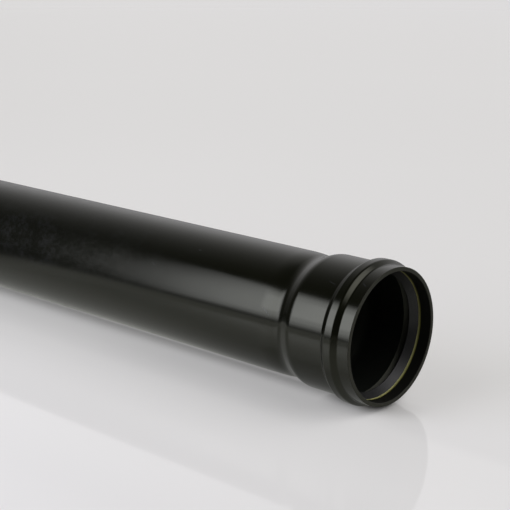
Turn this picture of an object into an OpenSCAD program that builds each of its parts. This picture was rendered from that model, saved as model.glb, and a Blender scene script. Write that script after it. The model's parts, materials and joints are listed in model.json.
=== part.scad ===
// Soil pipe: one length of plastic drain pipe that lies on a level floor.
// A plain chamfered end is at -X, and a push-fit socket is at +X.
// The origin is the centre of the socket's mouth. Millimetres, +Z up.

/* [Pipe] */
// Outside diameter of the barrel
pipe_od = 110; // [104:0.1:116]
// Wall thickness of the barrel
pipe_wall = 3.2; // [2.6:0.1:3.6]
// Overall length, from the plain end to the socket's mouth
pipe_l = 3000; // [500:50:4000]
// Length of the chamfer on the plain end
chamfer_l = 6; // [0.5:0.5:12]
// Angle of the chamfer to the pipe's axis
chamfer_angle = 15; // [5:1:20]

/* [Socket] */
// Radial room between the barrel's outside and the socket's inside
socket_play = 0.3; // [0.1:0.05:0.6]
// Wall thickness of the socket, a little thinner than the barrel's because it is stretched
socket_wall = 3.1; // [2.7:0.1:3.3]
// Distance from the mouth to the end of the straight socket
socket_l = 61; // [45:0.5:90]
// Length of the taper between the straight socket and the neck
taper_l = 18.5; // [18:0.5:30]
// Radius of each of the taper's two bends
taper_bend_r = 17.5; // [5:0.5:18]
// How far the neck behind the taper is drawn in below the barrel, on the radius
neck_depth = 1.3; // [0.5:0.1:1.4]
// Length over which the neck grows back to the barrel
neck_l = 20; // [18:0.5:40]

/* [Bead] */
// Distance from the mouth to the front of the bead's crest
crest_front = 16.9; // [16.6:0.1:17.6]
// Distance from the mouth to the back of the bead's crest
crest_back = 22.2; // [22:0.1:23.2]
// Distance from the mouth to the bead's foot behind the crest
bead_back = 29.2; // [28.4:0.1:31]
// Height of the bead above the straight socket
bead_rise = 4.1; // [3.8:0.1:4.4]
// Wall thickness of the bead
bead_wall = 2.5; // [2.3:0.1:2.7]
// Radius of the bend at the front of the crest
crest_front_r = 3.5; // [2:0.1:3.6]
// Radius of the bend at the back of the crest
crest_back_r = 3; // [2:0.1:3.5]
// Radius of the bends at the bead's two feet
foot_r = 2.5; // [1.8:0.1:2.5]

/* [Lip] */
// Wall thickness of the lip in front of the bead
lip_wall = 3.6; // [3.4:0.1:3.7]
// Length of the lip's straight part
lip_l = 10.6; // [10:0.1:10.9]
// Radius of the mouth's outer edge
rim_outer_r = 0.4; // [0.2:0.1:1]
// Radius of the mouth's inner edge
rim_inner_r = 0.6; // [0.2:0.1:1]

/* [Seal] */
// Inside radius of the rubber lip at its tip, when no pipe is in the socket
seal_tip_r = 51; // [50:0.1:53]
// Distance from the mouth to the tip of the rubber lip
seal_tip_x = 19.4; // [18.5:0.1:20.4]
// Width of the support ring's face that shows inside the mouth
ring_face = 2.5; // [1.6:0.1:2.8]
// How far the support ring stands in from the lip's inner wall
ring_proud = 0.2; // [0.1:0.05:0.4]

/* [Hidden] */
$fn = 192;
arc_n = 6;
gap = 0.06;                                   // room between the seal's pieces and their seat
pipe_r = pipe_od / 2;
bore_r = pipe_r - pipe_wall;
neck_r = pipe_r - neck_depth;
socket_in_r = pipe_r + socket_play;
socket_r = socket_in_r + socket_wall;
bead_r = socket_r + bead_rise;
lip_r = socket_in_r + lip_wall;
chamfer_d = min(chamfer_l * tan(chamfer_angle), pipe_wall - 0.5);
neck_x = socket_l + taper_l;                  // where the neck is narrowest
groove_r = bead_r - bead_wall;
groove_bend_r = 1.2;
seal_back = crest_back + 0.4;                 // where the rubber's body ends, inside the groove

// The angle, to the axis, of the straight part of an S-shaped step whose two bends have radii that sum to bends.
function slope_of(rise, run, bends) =
    let (straight = sqrt(max(0, run * run + pow(bends - rise, 2) - bends * bends)))
    atan2(bends, straight) - atan2(bends - rise, run);

// The seal's groove has a front wall that follows the slope between the lip and the crest.
slope = slope_of(bead_r - lip_r, crest_front - lip_l, crest_front_r + foot_r);
across = [cos(slope), sin(slope)];
seat = across * [(lip_r + bead_r) / 2, -(lip_l + crest_front) / 2] - 2;
// Where the groove's front wall, or a line a little behind it, has radius r.
function seat_x(r, back = 0) = (seat - back - across[0] * r) / across[1];
seat_c = [groove_r - groove_bend_r, (seat - groove_bend_r - across[0] * (groove_r - groove_bend_r)) / across[1]];

// Its back wall follows the slope behind the crest.
back_slope = slope_of(bead_rise, bead_back - crest_back, crest_back_r + foot_r);
back_across = [cos(back_slope), -sin(back_slope)];
back_seat = back_across * [bead_r - bead_rise / 2, -(crest_back + bead_back) / 2] - 2.4;
function back_x(r, off = 0) = (back_across[0] * r + off - back_seat) / -back_across[1];
// The neck's two bends: a fifth of what the step has room for at its foot, and the rest at its top.
neck_bends = (neck_l * neck_l + neck_depth * neck_depth) / (2 * neck_depth);
// The bead is wider than the barrel, so the pipe lies with its mouth a little high.
lie_tilt = asin((bead_r - pipe_r) / (pipe_l - chamfer_l - crest_back));

// Points along an arc about c, from angle a0 to angle a1.
function arc(c, r, a0, a1, n = arc_n) =
    [for (i = [0 : n]) let (a = a0 + (a1 - a0) * i / n) c + r * [cos(a), sin(a)]];

// Points along an S-shaped step from radius ra at x = -xa to radius rb at x = -xb: an arc, a cone and an arc.
function s_step(ra, xa, rb, xb, bend_a, bend_b, n = 8) =
    let (s = slope_of(abs(ra - rb), xb - xa, bend_a + bend_b))
    ra > rb
        ? concat(arc([ra - bend_a, -xa], bend_a, 0, -s, n), arc([rb + bend_b, -xb], bend_b, 180 - s, 180, n))
        : concat(arc([ra + bend_a, -xa], bend_a, 180, 180 + s, n), arc([rb - bend_b, -xb], bend_b, s, 0, n));

// The barrel's side of the socket: a taper down to the neck, and the neck's slow growth back to the barrel.
function shoulder(top_r, neck_r, barrel_r, shift) = concat(
    s_step(top_r, socket_l + shift, neck_r, neck_x + shift, taper_bend_r, taper_bend_r),
    s_step(neck_r, neck_x + shift, barrel_r, neck_x + shift + neck_l, 0.2 * neck_bends, 0.8 * neck_bends));

function reversed(p) = [for (i = [len(p) - 1 : -1 : 0]) p[i]];

// Each section is drawn as [radius, x] and turned about the pipe's axis, which is then laid along X.
module turned() {
    rotate([0, 90 - lie_tilt, 0]) rotate_extrude($fn = $fn) children();
}

function outside() = concat(
    arc([socket_in_r + rim_inner_r, -rim_inner_r], rim_inner_r, 180, 90),
    arc([lip_r - rim_outer_r, -rim_outer_r], rim_outer_r, 90, 0),
    s_step(lip_r, lip_l, bead_r, crest_front, foot_r, crest_front_r),
    s_step(bead_r, crest_back, socket_r, bead_back, crest_back_r, foot_r),
    shoulder(socket_r, neck_r, pipe_r, 0),
    [[pipe_r, -pipe_l + chamfer_l], [pipe_r - chamfer_d, -pipe_l]]);

function inside() = concat(
    [[bore_r, -pipe_l]],
    reversed(shoulder(socket_in_r, bore_r - neck_depth, bore_r, 0.5)),
    [[socket_in_r, back_x(socket_in_r)]],
    arc([groove_r - groove_bend_r, back_x(groove_r - groove_bend_r, groove_bend_r)], groove_bend_r, -back_slope, 0, 5),
    arc(seat_c, groove_bend_r, 0, slope, 5),
    [[socket_in_r, seat_x(socket_in_r)]]);

// The pipe itself: barrel, neck, taper, socket, bead and lip are one formed length of plastic.
module pipe() {
    color([0.03, 0.03, 0.03])
    turned() polygon(concat(outside(), inside()));
}

// The hard ring that backs the rubber against the front of its groove.
ring_r = socket_in_r - ring_proud;
ring_front = seat_x(ring_r, gap);
ring_back = ring_front - ring_face;
ring_top = [socket_in_r + 2.7, seat_x(socket_in_r + 2.7, gap)];
ring_heel = ring_top - 0.4 * across;
module support_ring() {
    color([0.62, 0.60, 0.28])
    turned() polygon([[ring_r, ring_back], [ring_r, ring_front], ring_top, ring_heel]);
}

// The rubber lip seal: a body that fills the groove, and a lip that leans in and back from the mouth.
module seal_ring() {
    face = [ring_r - 0.1, ring_back - 0.07];
    tip = [seal_tip_r, -seal_tip_x];
    lean = atan2(face[0] - tip[0], face[1] - tip[1]);
    color([0.10, 0.10, 0.11])
    turned() polygon(concat(
        [face],
        arc(tip + 0.7 * [cos(lean), -sin(lean)], 0.7, 180 - lean, 360 - lean, 6),
        [[ring_r + 0.9, -16.9], [ring_r + 1.3, -17.5], [ring_r + 1, -18.4], [ring_r + 0.7, -20]],
        arc([ring_r + 1.1, -seal_back + gap + 0.6], 0.6, 200, 270, 3),
        arc([groove_r - 0.6 - gap, -seal_back + 0.6 + gap], 0.6, -90, 0, 4),
        arc(seat_c, groove_bend_r - gap, 0, slope, 5),
        [[ring_top[0] + 0.09, seat_x(ring_top[0] + 0.09, gap)], ring_heel - [0, 0.1]]));
}

pipe();
seal_ring();
support_ring();
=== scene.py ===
import json
import math

import bpy
from mathutils import Matrix, Quaternion, Vector


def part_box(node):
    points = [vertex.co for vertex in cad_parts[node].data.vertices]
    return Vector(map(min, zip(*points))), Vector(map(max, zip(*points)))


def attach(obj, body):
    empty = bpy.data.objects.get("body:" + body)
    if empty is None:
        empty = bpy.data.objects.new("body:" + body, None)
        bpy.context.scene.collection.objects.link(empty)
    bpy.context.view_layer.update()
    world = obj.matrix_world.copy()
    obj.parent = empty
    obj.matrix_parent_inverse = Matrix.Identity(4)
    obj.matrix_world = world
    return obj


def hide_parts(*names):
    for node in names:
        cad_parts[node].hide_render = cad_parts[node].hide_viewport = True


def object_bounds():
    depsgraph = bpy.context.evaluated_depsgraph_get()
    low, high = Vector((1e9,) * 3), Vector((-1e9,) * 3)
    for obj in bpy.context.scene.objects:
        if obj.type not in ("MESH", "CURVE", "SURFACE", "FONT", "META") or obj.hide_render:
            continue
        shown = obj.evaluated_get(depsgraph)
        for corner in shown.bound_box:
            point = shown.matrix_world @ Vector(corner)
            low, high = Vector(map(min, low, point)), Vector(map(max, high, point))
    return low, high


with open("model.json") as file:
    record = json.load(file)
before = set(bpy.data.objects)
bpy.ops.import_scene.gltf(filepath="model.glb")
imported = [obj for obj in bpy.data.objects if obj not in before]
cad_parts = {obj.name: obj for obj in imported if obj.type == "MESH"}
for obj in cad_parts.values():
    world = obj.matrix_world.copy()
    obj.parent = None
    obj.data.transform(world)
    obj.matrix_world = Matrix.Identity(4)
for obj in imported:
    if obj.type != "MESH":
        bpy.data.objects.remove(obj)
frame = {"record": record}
cad_lo, cad_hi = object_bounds()

MM = 0.001
SEGMENTS = 256

# ---------------------------------------------------------------- where the pipe lies
# The pipe's axis runs through the row's origin, out of the socket's mouth, and tilts a
# little because the bead is wider than the barrel. The socket mount states its direction.
mounts = {m["name"]: m for m in frame["record"]["mounts"]}
axis = Vector(mounts["socket"]["axis"]).normalized()
side = Vector((0.0, 1.0, 0.0))
up = axis.cross(side).normalized()
LIE = Matrix((axis, side, up)).transposed().to_4x4()  # pipe coordinates to the row frame

PIPE_R = mounts["spigot"]["dims"]["r_mm"]
BORE_R = mounts["bore"]["dims"]["r_mm"]
SOCKET_IN = mounts["socket"]["dims"]["r_mm"]
BEAD_R = (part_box("pipe")[1].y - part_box("pipe")[0].y) / 2 / MM
LENGTH = 3000.0
SOCKET_R = SOCKET_IN + 3.1
LIP_R = SOCKET_IN + 3.6
GROOVE_R = BEAD_R - 2.5
RING_R = SOCKET_IN - 0.2
NECK = 1.3  # how far the barrel draws in behind the socket
DRAW = (20.0**2 + NECK**2) / (2 * NECK)  # the radii of the two bends by which it does so, together


# ---------------------------------------------------------------- turned meshes
# A section is a closed list of points (radius, x, normal before, normal after), walked with
# the outside on its left, so every corner of the mesh gets the section's true normal.
def arc(c, r, a0, a1, n):
    turn = 1.0 if a1 > a0 else -1.0
    points = []
    for i in range(n + 1):
        a = math.radians(a0 + (a1 - a0) * i / n)
        normal = (-turn * math.cos(a), -turn * math.sin(a))
        points.append((c[0] + r * math.cos(a), c[1] + r * math.sin(a), normal))
    return points


def slope_of(rise, run, bends):
    """The angle of the straight part of an S-shaped step, and that part's length."""
    straight = math.sqrt(max(0.0, run * run + (bends - rise) ** 2 - bends * bends))
    return math.degrees(math.atan2(bends, straight) - math.atan2(bends - rise, run))


def step(ra, xa, rb, xb, bend_a, bend_b, n=10):
    """An S-shaped step from radius ra at x = -xa to radius rb at x = -xb: an arc, a cone, an arc."""
    s = slope_of(abs(ra - rb), xb - xa, bend_a + bend_b)
    if ra > rb:
        return arc((ra - bend_a, -xa), bend_a, 0, -s, n) + arc((rb + bend_b, -xb), bend_b, 180 - s, 180, n)
    return arc((ra + bend_a, -xa), bend_a, 180, 180 + s, n) + arc((rb - bend_b, -xb), bend_b, s, 0, n)


def turned_round(points):
    """The same run walked the other way."""
    return [(p[0], p[1], (-p[2][0], -p[2][1])) for p in reversed(points)]


def corner(r, x):
    return [(r, x, None)]


def section(*runs):
    """Joins runs of points into one closed section. Consecutive points of one run are a curve; runs are joined by straight lines."""
    points = []
    for run in runs:
        for k, p in enumerate(run):
            points.append((p[0], p[1], p[2], k > 0))
    return points


def between(a, b, step):
    """Points inside a straight stretch, so no face is much longer than step."""
    d = math.hypot(b[0] - a[0], b[1] - a[1])
    n = max(1, round(d / step))
    return [(a[0] + (b[0] - a[0]) * i / n, a[1] + (b[1] - a[1]) * i / n) for i in range(1, n)]


def lathe(name, points, step=60.0, segments=SEGMENTS):
    rings, spans = [], []
    count = len(points)
    area = sum(points[i][0] * points[(i + 1) % count][1] - points[(i + 1) % count][0] * points[i][1] for i in range(count))
    out = 1.0 if area < 0 else -1.0
    for i in range(count):
        r0, x0, n0, _ = points[i]
        r1, x1, n1, curved = points[(i + 1) % count]
        rings.append((r0, x0))
        if math.hypot(r1 - r0, x1 - x0) < 1e-6:
            spans.append(None)
            continue
        if curved and n0 is not None and n1 is not None:
            spans.append(((out * n0[0], out * n0[1]), (out * n1[0], out * n1[1])))
            continue
        d = math.hypot(r1 - r0, x1 - x0)
        flat = (-out * (x1 - x0) / d, out * (r1 - r0) / d)
        inner = between((r0, x0), (r1, x1), step)
        spans.append((flat, flat))
        for p in inner:
            rings.append(p)
            spans.append((flat, flat))
    # points that coincide share a ring
    index, kept = [], []
    for k, ring in enumerate(rings):
        if spans[k - 1] is None and kept:
            index.append(len(kept) - 1)
        else:
            kept.append(ring)
            index.append(len(kept) - 1)
    vertices, faces, normals = [], [], []
    turns = [2 * math.pi * j / segments for j in range(segments)]
    cs = [(math.cos(a), math.sin(a)) for a in turns]
    for r, x in kept:
        vertices += [(x * MM, r * MM * c, r * MM * s) for c, s in cs]
    total = len(rings)
    for k in range(total):
        if spans[k] is None:
            continue
        a, b = index[k], index[(k + 1) % total]
        (na, nb) = spans[k]
        for j in range(segments):
            m = (j + 1) % segments
            faces.append((a * segments + j, a * segments + m, b * segments + m, b * segments + j))
            c0, s0 = cs[j]
            c1, s1 = cs[m]
            normals += [
                (na[1], na[0] * c0, na[0] * s0),
                (na[1], na[0] * c1, na[0] * s1),
                (nb[1], nb[0] * c1, nb[0] * s1),
                (nb[1], nb[0] * c0, nb[0] * s0),
            ]
    mesh = bpy.data.meshes.new(name)
    mesh.from_pydata(vertices, [], faces)
    mesh.update()
    # the faces' winding follows their normals
    first = mesh.polygons[0].normal
    if first.dot(Vector(normals[0])) < 0:
        faces = [tuple(reversed(f)) for f in faces]
        normals = [n for i in range(0, len(normals), 4) for n in reversed(normals[i : i + 4])]
        mesh = bpy.data.meshes.new(name)
        mesh.from_pydata(vertices, [], faces)
        mesh.update()
    mesh.polygons.foreach_set("use_smooth", [True] * len(mesh.polygons))
    mesh.normals_split_custom_set(normals)
    mesh.update()
    piece = bpy.data.objects.new(name, mesh)
    bpy.context.scene.collection.objects.link(piece)
    piece.matrix_world = LIE
    return piece


CHAMFER = 6 * math.tan(math.radians(15))

CREST_FRONT, CREST_BACK, BEAD_BACK = 16.9, 22.2, 29.2
CREST_FRONT_R, CREST_BACK_R, FOOT_R = 3.5, 3.0, 2.5

# the front of the seal's groove follows the slope between the lip and the bead's crest
SLOPE = math.radians(slope_of(BEAD_R - LIP_R, CREST_FRONT - 10.6, CREST_FRONT_R + FOOT_R))
ACROSS = (math.cos(SLOPE), math.sin(SLOPE))
MIDDLE = ACROSS[0] * (LIP_R + BEAD_R) / 2 - ACROSS[1] * (10.6 + CREST_FRONT) / 2
SEAT = MIDDLE - 2.0

# and its back follows the slope behind the crest
BACK_SLOPE = math.radians(slope_of(BEAD_R - SOCKET_R, BEAD_BACK - CREST_BACK, CREST_BACK_R + FOOT_R))
BACK_SEAT = math.cos(BACK_SLOPE) * (BEAD_R + SOCKET_R) / 2 + math.sin(BACK_SLOPE) * (CREST_BACK + BEAD_BACK) / 2 - 2.4


def back_x(r, off=0.0):
    """Where the groove's back wall, or a line inside it, has radius r."""
    return (math.cos(BACK_SLOPE) * r + off - BACK_SEAT) / math.sin(BACK_SLOPE)


def seat_x(r, back=0.0):
    """Where the groove's front wall, or a line a little behind it, has radius r."""
    return (SEAT - back - ACROSS[0] * r) / ACROSS[1]


GROOVE_X = (SEAT - 1.2 - ACROSS[0] * (GROOVE_R - 1.2)) / ACROSS[1]
pipe = lathe(
    "formed_pipe",
    section(
        arc((SOCKET_IN + 0.6, -0.6), 0.6, 180, 90, 10),
        arc((LIP_R - 0.4, -0.4), 0.4, 90, 0, 10),
        step(LIP_R, 10.6, BEAD_R, CREST_FRONT, FOOT_R, CREST_FRONT_R, 12),
        step(BEAD_R, CREST_BACK, SOCKET_R, BEAD_BACK, CREST_BACK_R, FOOT_R, 12),
        step(SOCKET_R, 61.0, PIPE_R - NECK, 79.5, 17.5, 17.5, 12),
        step(PIPE_R - NECK, 79.5, PIPE_R, 99.5, 0.2 * DRAW, 0.8 * DRAW, 10),
        arc((PIPE_R - 3, -LENGTH + 6.4), 3.0, 0, -15, 3),
        arc((PIPE_R - CHAMFER - 0.23, -LENGTH + 0.3), 0.3, -15, -90, 6),
        arc((BORE_R + 0.3, -LENGTH + 0.3), 0.3, -90, -180, 6),
        turned_round(step(BORE_R - NECK, 80.0, BORE_R, 100.0, 0.2 * DRAW, 0.8 * DRAW, 10)),
        turned_round(step(SOCKET_IN, 61.5, BORE_R - NECK, 80.0, 17.5, 17.5, 12)),
        corner(SOCKET_IN, back_x(SOCKET_IN)),
        arc((GROOVE_R - 1.2, back_x(GROOVE_R - 1.2, 1.2)), 1.2, -math.degrees(BACK_SLOPE), 0, 8),
        arc((GROOVE_R - 1.2, GROOVE_X), 1.2, 0, math.degrees(SLOPE), 8),
        corner(SOCKET_IN, seat_x(SOCKET_IN)),
    ),
)

GAP = 0.06
RING_X = seat_x(RING_R, GAP)
RING_BACK = RING_X - 2.5
TOP = (58.0, seat_x(58.0, GAP))
HEEL = (TOP[0] - 0.4 * ACROSS[0], TOP[1] - 0.4 * ACROSS[1])
support = lathe(
    "turned_support_ring",
    section(
        arc((RING_R + 0.12, RING_BACK + 0.12), 0.12, 270, 180, 4),
        corner(RING_R, RING_X),
        corner(*TOP),
        corner(*HEEL),
    ),
)

FACE = (RING_R - 0.1, RING_BACK - 0.07)
TIP = (51.0, -19.4)
lean = math.degrees(math.atan2(FACE[0] - TIP[0], FACE[1] - TIP[1]))
lean_r = math.radians(lean)
tip_c = (TIP[0] + 0.7 * math.cos(lean_r), TIP[1] - 0.7 * math.sin(lean_r))
seal = lathe(
    "moulded_seal_ring",
    section(
        arc((FACE[0] + 0.25, FACE[1] - 0.25), 0.25, 90, 180 - lean, 5),
        arc(tip_c, 0.7, 180 - lean, 360 - lean, 14),
        corner(RING_R + 0.9, -16.9),
        corner(RING_R + 1.3, -17.5),
        corner(RING_R + 1.0, -18.4),
        corner(RING_R + 0.7, -20.0),
        arc((RING_R + 1.1, -21.94), 0.6, 200, 270, 5),
        arc((GROOVE_R - 0.66, -21.94), 0.6, -90, 0, 6),
        arc((GROOVE_R - 1.2, GROOVE_X), 1.14, 0, math.degrees(SLOPE), 8),
        corner(58.09, seat_x(58.09, GAP)),
        corner(HEEL[0], HEEL[1] - 0.1),
    ),
)

for piece, node, slot in (
    (pipe, "pipe", "pipe"),
    (support, "support_ring", "support_ring"),
    (seal, "seal_ring", "seal_ring"),
):
    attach(piece, "root")
    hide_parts(node)


# ---------------------------------------------------------------- materials
class Nodes:
    """A short hand for building a node tree."""

    def __init__(self, tree):
        self.tree = tree
        tree.nodes.clear()

    def add(self, kind, **settings):
        n = self.tree.nodes.new(kind)
        for k, v in settings.items():
            setattr(n, k, v)
        return n

    def link(self, a, b):
        self.tree.links.new(a, b)

    def put(self, value, socket):
        if hasattr(value, "is_output"):
            self.link(value, socket)
        else:
            socket.default_value = value

    def math(self, op, a, b=0.0, clamp=False):
        n = self.add("ShaderNodeMath", operation=op, use_clamp=clamp)
        self.put(a, n.inputs[0])
        self.put(b, n.inputs[1])
        return n.outputs[0]

    def ramp(self, value, lo, hi, a=0.0, b=1.0, smooth=True):
        n = self.add("ShaderNodeMapRange", interpolation_type="SMOOTHSTEP" if smooth else "LINEAR")
        self.put(value, n.inputs["Value"])
        n.inputs["From Min"].default_value = lo
        n.inputs["From Max"].default_value = hi
        n.inputs["To Min"].default_value = a
        n.inputs["To Max"].default_value = b
        return n.outputs["Result"]

    def noise(self, vector, scale, detail=2.0, rough=0.5):
        n = self.add("ShaderNodeTexNoise")
        self.link(vector, n.inputs["Vector"])
        n.inputs["Scale"].default_value = scale
        n.inputs["Detail"].default_value = detail
        n.inputs["Roughness"].default_value = rough
        return n.outputs["Fac"]

    def mix(self, fac, a, b):
        n = self.add("ShaderNodeMix", data_type="RGBA")
        self.put(fac, n.inputs[0])
        self.put(a, n.inputs[6])
        self.put(b, n.inputs[7])
        return n.outputs[2]

    def stretch(self, vector, x, y, z):
        n = self.add("ShaderNodeVectorMath", operation="MULTIPLY")
        self.link(vector, n.inputs[0])
        n.inputs[1].default_value = (x, y, z)
        return n.outputs[0]


def material(name):
    m = bpy.data.materials.new(name)
    m.use_nodes = True
    k = Nodes(m.node_tree)
    out = k.add("ShaderNodeOutputMaterial")
    shader = k.add("ShaderNodeBsdfPrincipled")
    k.link(shader.outputs[0], out.inputs["Surface"])
    where = k.add("ShaderNodeTexCoord").outputs["Object"]
    return m, k, shader, where


# black plastic: drawn smooth along its length, a little uneven, with light scuffs
black, k, shader, where = material("drawn_black_plastic")
place = k.add("ShaderNodeSeparateXYZ")
k.link(where, place.inputs[0])
along = place.outputs[0]
facing = k.add("ShaderNodeVectorMath", operation="DOT_PRODUCT")
k.link(k.add("ShaderNodeNewGeometry").outputs["Normal"], facing.inputs[0])
k.link(k.stretch(where, 0.0, 1.0, 1.0), facing.inputs[1])
inside = k.ramp(facing.outputs["Value"], -0.03, -0.01, 1.0, 0.0)  # the bore and the mouth's inner wall, which are dusty
cut = k.ramp(along, -0.0009, -0.0003)  # the mouth's cut end, which is duller
# the angle round the pipe from its -Y side: positive downwards
round_it = k.math("ARCTAN2", k.math("MULTIPLY", place.outputs[2], -1.0), k.math("MULTIPLY", place.outputs[1], -1.0))


def off(value, middle):
    return k.math("SUBTRACT", value, middle)


def patch(x, turn, wide, high):
    """A soft oval on the pipe's side: its place in metres and degrees, and its half sizes in metres."""
    u = k.math("DIVIDE", off(along, x), wide)
    v = k.math("DIVIDE", k.math("MULTIPLY", off(round_it, math.radians(turn)), 0.055), high)
    return k.ramp(k.math("ADD", k.math("MULTIPLY", u, u), k.math("MULTIPLY", v, v)), 0.15, 1.0, 1.0, 0.0)


def scratch(x0, turn0, x1, turn1, wide):
    """A soft straight mark between two places on the pipe's side."""
    s0, s1 = 0.055 * math.radians(turn0), 0.055 * math.radians(turn1)
    long = math.hypot(x1 - x0, s1 - s0)
    cx, cs = (x1 - x0) / long, (s1 - s0) / long
    dx = off(along, (x0 + x1) / 2)
    ds = off(k.math("MULTIPLY", round_it, 0.055), (s0 + s1) / 2)
    u = k.math("ABSOLUTE", k.math("ADD", k.math("MULTIPLY", dx, cx), k.math("MULTIPLY", ds, cs)))
    v = k.math("ABSOLUTE", k.math("SUBTRACT", k.math("MULTIPLY", ds, cx), k.math("MULTIPLY", dx, cs)))
    return k.math("MULTIPLY", k.ramp(u, long * 0.2, long * 0.5, 1.0, 0.0), k.ramp(v, 0.0, wide, 1.0, 0.0))


streak = k.noise(k.stretch(where, 1.2, 260.0, 260.0), 1.0, 3.0, 0.6)
fine = k.noise(where, 900.0, 2.0)
cloud = k.noise(k.stretch(where, 14.0, 26.0, 26.0), 1.0, 3.0, 0.55)
haze = k.noise(k.stretch(where, 60.0, 85.0, 85.0), 1.0, 4.0, 0.62)
speckle = k.noise(k.stretch(where, 170.0, 230.0, 230.0), 1.0, 3.0, 0.6)
further = k.ramp(along, -0.34, -0.10, 1.0, 0.0)  # away from the socket the skin is cloudier
tone = k.math("MULTIPLY", k.math("ADD", streak, cloud), 0.5)
clean = k.mix(tone, (0.0014, 0.0016, 0.0003, 1), (0.0028, 0.0031, 0.0007, 1))
dust = k.math("MULTIPLY", k.ramp(haze, 0.42, 0.72), k.ramp(speckle, 0.35, 0.7))
scuffs = k.math("MULTIPLY", patch(-0.410, -24.0, 0.075, 0.036), k.ramp(speckle, 0.40, 0.64))
scuffs = k.math("MULTIPLY", scuffs, k.ramp(haze, 0.36, 0.6))
scuffs = k.math("MAXIMUM", k.math("MULTIPLY", scuffs, 0.17), k.math("MULTIPLY", k.math("MULTIPLY", dust, further), 0.10))
scuffs = k.math("ADD", scuffs, k.math("MULTIPLY", further, 0.05))
marks = scratch(-0.0975, -20.7, -0.0865, -12.0, 0.0011)
marks = k.math("MULTIPLY", marks, k.ramp(speckle, 0.35, 0.55))
for mark in (
    scratch(-0.041, -55.0, -0.031, -52.5, 0.0004),
    scratch(-0.0095, -60.6, -0.0035, -56.9, 0.0005),
    patch(-0.1901, -56.8, 0.0013, 0.0011),
    scratch(-0.236, -33.0, -0.229, -30.5, 0.0004),
):
    marks = k.math("MAXIMUM", marks, k.math("MULTIPLY", mark, 0.6))
worn = k.mix(k.math("MAXIMUM", scuffs, marks), clean, (0.030, 0.031, 0.036, 1))
dusty = k.mix(k.ramp(along, -0.024, -0.015, 1.0, 0.0), (0.0040, 0.0040, 0.0034, 1), (0.0040, 0.0052, 0.0046, 1))
k.link(k.mix(inside, worn, dusty), shader.inputs["Base Color"])
drawn = k.math("ADD", k.ramp(cloud, 0.3, 0.7, 0.11, 0.15), k.math("MULTIPLY", streak, 0.03))
drawn = k.math("ADD", drawn, k.math("MULTIPLY", further, k.ramp(k.math("ADD", haze, speckle), 0.75, 1.25, 0.025, 0.08)))
drawn = k.math("ADD", drawn, k.math("MULTIPLY", marks, 0.12))
drawn = k.math("MAXIMUM", drawn, k.math("MULTIPLY", inside, 0.5))
k.link(k.math("MAXIMUM", drawn, k.math("MULTIPLY", cut, 0.55)), shader.inputs["Roughness"])
shader.inputs["IOR"].default_value = 1.45
shader.inputs["Specular Tint"].default_value = (1.0, 1.01, 0.82, 1.0)
height = k.math("ADD", k.math("MULTIPLY", streak, 0.35), k.math("ADD", k.math("MULTIPLY", fine, 0.05), cloud))
height = k.math("ADD", height, k.math("MULTIPLY", haze, 0.25))
bump = k.add("ShaderNodeBump")
bump.inputs["Strength"].default_value = 0.5
bump.inputs["Distance"].default_value = 0.00006
k.link(height, bump.inputs["Height"])
k.link(bump.outputs[0], shader.inputs["Normal"])
pipe.data.materials.append(black)

# seal rubber: matt, dark blue-grey
rubber, k, shader, where = material("seal_rubber")
grain = k.noise(where, 1400.0, 3.0, 0.6)
band = k.noise(where, 60.0, 2.0)
k.link(k.mix(k.math("MULTIPLY", k.math("ADD", grain, band), 0.5), (0.007, 0.007, 0.0069, 1), (0.012, 0.012, 0.0118, 1)), shader.inputs["Base Color"])
k.link(k.ramp(band, 0.3, 0.7, 0.36, 0.44), shader.inputs["Roughness"])
shader.inputs["Specular IOR Level"].default_value = 0.5
bump = k.add("ShaderNodeBump")
bump.inputs["Strength"].default_value = 0.35
bump.inputs["Distance"].default_value = 0.00004
k.link(grain, bump.inputs["Height"])
k.link(bump.outputs[0], shader.inputs["Normal"])
seal.data.materials.append(rubber)

# support ring: olive yellow moulded plastic
olive, k, shader, where = material("support_ring_plastic")
mottle = k.noise(where, 220.0, 3.0, 0.6)
place = k.add("ShaderNodeSeparateXYZ")
k.link(where, place.inputs[0])
# painted shade: the ring's front edge, towards the mouth, is painted a darker olive
painted_front_shading = k.ramp(place.outputs[0], (RING_BACK + 0.7) * MM, (RING_X - 0.1) * MM)  # its front edge is a darker olive
yellow = k.mix(mottle, (0.45, 0.437, 0.18, 1), (0.62, 0.60, 0.255, 1))
k.link(k.mix(painted_front_shading, yellow, (0.155, 0.150, 0.030, 1)), shader.inputs["Base Color"])
k.link(k.ramp(mottle, 0.3, 0.7, 0.38, 0.5), shader.inputs["Roughness"])
shader.inputs["Specular IOR Level"].default_value = 0.35
bump = k.add("ShaderNodeBump")
bump.inputs["Strength"].default_value = 0.3
bump.inputs["Distance"].default_value = 0.00003
k.link(mottle, bump.inputs["Height"])
k.link(bump.outputs[0], shader.inputs["Normal"])
support.data.materials.append(olive)

# ---------------------------------------------------------------- floor, lights, camera
floor_z = cad_lo.z
mesh = bpy.data.meshes.new("floor")
R = 60.0
mesh.from_pydata([(-R, -R, floor_z), (R, -R, floor_z), (R, R, floor_z), (-R, R, floor_z)], [], [(0, 1, 2, 3)])
floor = bpy.data.objects.new("floor", mesh)
bpy.context.scene.collection.objects.link(floor)
pale, k, shader, where = material("pale_floor")
ray = k.add("ShaderNodeLightPath")
place = k.add("ShaderNodeSeparateXYZ")
k.link(where, place.inputs[0])
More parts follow.
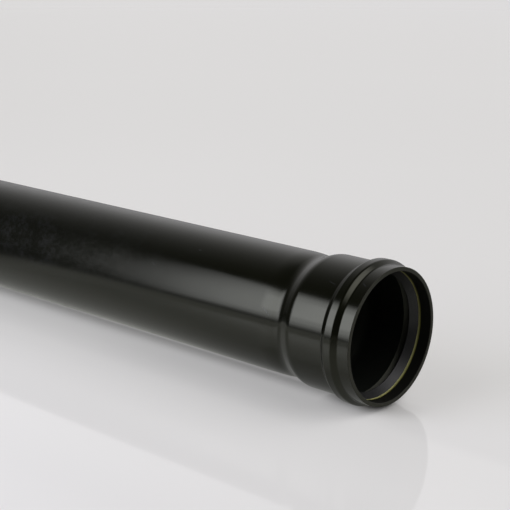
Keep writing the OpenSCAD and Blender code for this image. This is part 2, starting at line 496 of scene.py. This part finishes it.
# painted reflection: in the pipe's reflection the floor is painted dark away from the socket and partly dark far in
# front, and for bounced light it is painted darker all over; the camera still sees it pale
painted_reflection_dimming = k.math("MAXIMUM", k.ramp(place.outputs[0], -0.70, -0.52, 1.0, 0.0), k.ramp(place.outputs[1], -0.50, -0.15, 0.4, 0.0))
painted_reflection_dimming = k.math("MULTIPLY", ray.outputs["Is Glossy Ray"], painted_reflection_dimming)
painted_reflection_dimming = k.math("MAXIMUM", painted_reflection_dimming, k.math("MULTIPLY", ray.outputs["Is Diffuse Ray"], 0.6))
sheet = k.mix(ray.outputs["Is Glossy Ray"], (0.54, 0.533, 0.520, 1), (0.54, 0.545, 0.50, 1))
sheet = k.mix(painted_reflection_dimming, sheet, (0.05, 0.05, 0.05, 1))
k.link(sheet, shader.inputs["Base Color"])
# the sheet is glossy round the socket and satin over the rest of the floor
left = k.math("ADD", k.math("MULTIPLY", place.outputs[0], 0.7556), k.math("ADD", place.outputs[1], 0.382))
right = k.math("ADD", k.math("MULTIPLY", place.outputs[1], 0.603), k.math("SUBTRACT", place.outputs[0], 0.099))
satin = k.math("MAXIMUM", k.ramp(left, -0.22, -0.03, 1.0, 0.0), k.ramp(right, 0.03, 0.25))
k.link(k.math("ADD", 0.045, k.math("MULTIPLY", satin, 0.6)), shader.inputs["Roughness"])
shader.inputs["IOR"].default_value = 1.38
k.link(k.mix(ray.outputs["Is Glossy Ray"], (1.0, 0.988, 0.958, 1), (1.0, 1.005, 0.92, 1)), shader.inputs["Emission Color"])
# painted light: seen in the pipe's reflection the floor glows, most close beside the pipe and less near the socket,
# which keeps the floor under the pipe light in the reflection
painted_reflected_glow = k.ramp(k.math("ABSOLUTE", place.outputs[1]), 0.0, 0.14, 0.34, 0.08)
painted_reflected_glow = k.math("MULTIPLY", painted_reflected_glow, k.ramp(place.outputs[0], -0.32, -0.08, 1.0, 0.4))
# painted shadow: the floor's painted glow is lowered where the pipe all but touches it, more widely under the bead, and
# a little in the lee of the mouth
from_pipe = k.math("ABSOLUTE", place.outputs[1])
beside = k.math("MULTIPLY", k.ramp(place.outputs[0], -0.01, 0.035, 1.0, 0.0), k.ramp(place.outputs[0], -3.025, -2.99))
painted_floor_glow = k.math("SUBTRACT", 0.207, k.math("MULTIPLY", k.ramp(from_pipe, 0.0, 0.027, 0.155, 0.0), beside))
painted_bead_shadow = k.math("MULTIPLY", k.ramp(place.outputs[0], -0.065, -0.035), k.ramp(place.outputs[0], -0.015, 0.01, 1.0, 0.0))
painted_floor_glow = k.math("SUBTRACT", painted_floor_glow, k.math("MULTIPLY", k.ramp(from_pipe, 0.0, 0.042, 0.15, 0.0), painted_bead_shadow))
painted_mouth_lee_shadow = k.math("MULTIPLY", k.ramp(place.outputs[1], -0.02, 0.02, 0.0, 0.035), k.ramp(place.outputs[0], 0.01, 0.07, 1.0, 0.0))
painted_floor_glow = k.math("SUBTRACT", painted_floor_glow, k.math("MULTIPLY", painted_mouth_lee_shadow, k.ramp(place.outputs[1], 0.07, 0.16, 1.0, 0.0)))
# painted light: the glow is raised in a band beside the pipe's far part, in front of the mouth and in a band in front
# of the pipe, and it is lowered a little far in front
painted_open_side_light = k.math("MULTIPLY", k.ramp(from_pipe, 0.018, 0.035, 0.0, 0.035), k.ramp(from_pipe, 0.05, 0.10, 1.0, 0.0))
painted_floor_glow = k.math("ADD", painted_floor_glow, k.math("MULTIPLY", painted_open_side_light, k.ramp(place.outputs[0], -0.36, -0.20, 1.0, 0.0)))
painted_front_shading = k.math("MULTIPLY", k.ramp(place.outputs[0], -0.06, -0.01, 0.0, 0.032), k.ramp(place.outputs[1], -0.045, -0.02, 1.0, 0.0))
painted_floor_glow = k.math("ADD", painted_floor_glow, k.math("MULTIPLY", painted_front_shading, k.ramp(place.outputs[1], -0.20, -0.12)))
middle = k.math("MULTIPLY", k.ramp(place.outputs[1], -0.085, -0.06, 0.028, 0.0), k.ramp(place.outputs[1], -0.20, -0.14))
painted_floor_glow = k.math("ADD", painted_floor_glow, k.math("MULTIPLY", middle, k.ramp(place.outputs[0], -0.06, -0.01, 1.0, 0.0)))
painted_floor_glow = k.math("SUBTRACT", painted_floor_glow, k.ramp(place.outputs[1], -0.28, -0.20, 0.03, 0.0))
# the floor glows a little for every ray, and for the camera with the painted light and shadow above
glow = k.math("ADD", 0.08, k.math("MULTIPLY", ray.outputs["Is Camera Ray"], painted_floor_glow))
glow = k.math("MAXIMUM", glow, k.math("MULTIPLY", ray.outputs["Is Glossy Ray"], painted_reflected_glow))
k.link(k.math("MULTIPLY", glow, k.math("SUBTRACT", 1.0, painted_reflection_dimming)), shader.inputs["Emission Strength"])
# far from the pipe, and under the key light, the camera sees a plain backdrop in the floor's place
out_x = k.math("MULTIPLY", k.math("ADD", place.outputs[0], 1.5), 0.75)
span = k.math("SQRT", k.math("ADD", k.math("MULTIPLY", out_x, out_x), k.math("MULTIPLY", place.outputs[1], place.outputs[1])))
afar = k.math("MAXIMUM", k.ramp(span, 2.2, 5.0), k.math("MULTIPLY", k.ramp(place.outputs[1], -0.60, -0.29, 1.0, 0.0), k.ramp(place.outputs[0], -2.2, -1.2)))
afar = k.math("MULTIPLY", afar, ray.outputs["Is Camera Ray"])
plain = k.add("ShaderNodeEmission")
plain.inputs["Color"].default_value = (1.0, 0.983, 0.995, 1.0)
plain.inputs["Strength"].default_value = 0.718
blend = k.add("ShaderNodeMixShader")
k.link(afar, blend.inputs[0])
k.link(shader.outputs[0], blend.inputs[1])
k.link(plain.outputs[0], blend.inputs[2])
for node in pale.node_tree.nodes:
    if node.bl_idname == "ShaderNodeOutputMaterial":
        k.link(blend.outputs[0], node.inputs["Surface"])
mesh.materials.append(pale)

scene = bpy.context.scene
scene.view_settings.view_transform = "Standard"
scene.view_settings.look = "None"
scene.view_settings.exposure = 0.0
scene.view_settings.gamma = 1.0

# The room: a pale wall round the floor, a dark ceiling, and a large soft light overhead.
world = bpy.data.worlds.new("studio")
scene.world = world
world.use_nodes = True
k = Nodes(world.node_tree)
out = k.add("ShaderNodeOutputWorld")
back = k.add("ShaderNodeBackground")
k.link(back.outputs[0], out.inputs["Surface"])
d = k.add("ShaderNodeSeparateXYZ")
k.link(k.add("ShaderNodeTexCoord").outputs["Generated"], d.inputs[0])


def towards(az, el):
    a, e = math.radians(az), math.radians(el)
    return (math.cos(a) * math.cos(e), math.sin(a) * math.cos(e), math.sin(e))


def lobe(az, el, inner, outer):
    """1 within inner degrees of a direction, falling to 0 at outer degrees."""
    t = towards(az, el)
    s = k.math("MULTIPLY", d.outputs[0], t[0])
    s = k.math("ADD", s, k.math("MULTIPLY", d.outputs[1], t[1]))
    s = k.math("ADD", s, k.math("MULTIPLY", d.outputs[2], t[2]))
    return k.ramp(s, math.cos(math.radians(outer)), math.cos(math.radians(inner)))


wall = k.math("MULTIPLY", k.ramp(d.outputs[2], 0.35, 1.05, 1.0, 0.3), lobe(80, 0, 55, 120))
wall = k.math("MULTIPLY", wall, k.ramp(d.outputs[2], 0.03, 0.3, 0.70, 1.0))
wall = k.math("MULTIPLY", wall, k.ramp(d.outputs[2], 0.76, 0.90, 1.0, 0.25))
value = k.math("ADD", 0.06, k.math("MULTIPLY", wall, 0.64))
value = k.math("ADD", value, k.math("MULTIPLY", lobe(14, 45, 8, 38), 2.1))
# the camera itself sees a plain pale backdrop
seen = k.add("ShaderNodeLightPath").outputs["Is Camera Ray"]
value = k.math("ADD", k.math("MULTIPLY", value, k.math("SUBTRACT", 1.0, seen)), k.math("MULTIPLY", seen, 0.718))
k.link(value, back.inputs["Strength"])
back.inputs["Color"].default_value = (1.0, 0.985, 1.005, 1)


def softbox(name, az, el, distance, wide, high, radiance, roll=0.0, target=(-0.1, 0.0, 0.0)):
    data = bpy.data.lights.new(name, "AREA")
    data.shape = "RECTANGLE"
    data.size, data.size_y = wide, high
    data.energy = radiance * math.pi * wide * high
    data.color = (0.98, 0.99, 1.13)
    light = bpy.data.objects.new(name, data)
    scene.collection.objects.link(light)
    aim = Vector(target)
    light.location = aim + Vector(towards(az, el)) * distance
    light.rotation_mode = "QUATERNION"
    turn = Quaternion((0.0, 0.0, 1.0), math.radians(roll))
    light.rotation_quaternion = (light.location - aim).to_track_quat("Z", "Y") @ turn
    light.visible_camera = False
    return light


# the key light is a softbox that is brightest in its middle
softbox("key", -115, 23, 1.2, 1.18, 1.04, 0.9, 6)
softbox("key_inner", -115, 23, 1.195, 0.97, 0.90, 1.2, 6)
softbox("key_middle", -115, 23.5, 1.19, 0.79, 0.74, 1.1, 6)
softbox("key_heart", -115, 24, 1.185, 0.55, 0.48, 1.2, 6)

t = math.asin(axis.z)


def tilted(v):
    return Vector((v[0] * math.cos(t) - v[2] * math.sin(t), v[1], v[0] * math.sin(t) + v[2] * math.cos(t)))


camera = bpy.data.cameras.new("camera")
camera.sensor_width = 36.0
camera.sensor_fit = "HORIZONTAL"
camera.lens = 93.33
camera.clip_start, camera.clip_end = 0.05, 200.0
eye = bpy.data.objects.new("camera", camera)
scene.collection.objects.link(eye)
right = tilted((0.7428, 0.6695, 0.0)).normalized()
back_dir = -tilted((-0.6458, 0.7166, -0.2635)).normalized()
up_dir = back_dir.cross(right).normalized()
eye.matrix_world = Matrix.Translation(tilted((0.6047, -0.8391, 0.3509))) @ Matrix((right, up_dir, back_dir)).transposed().to_4x4()
scene.camera = eye
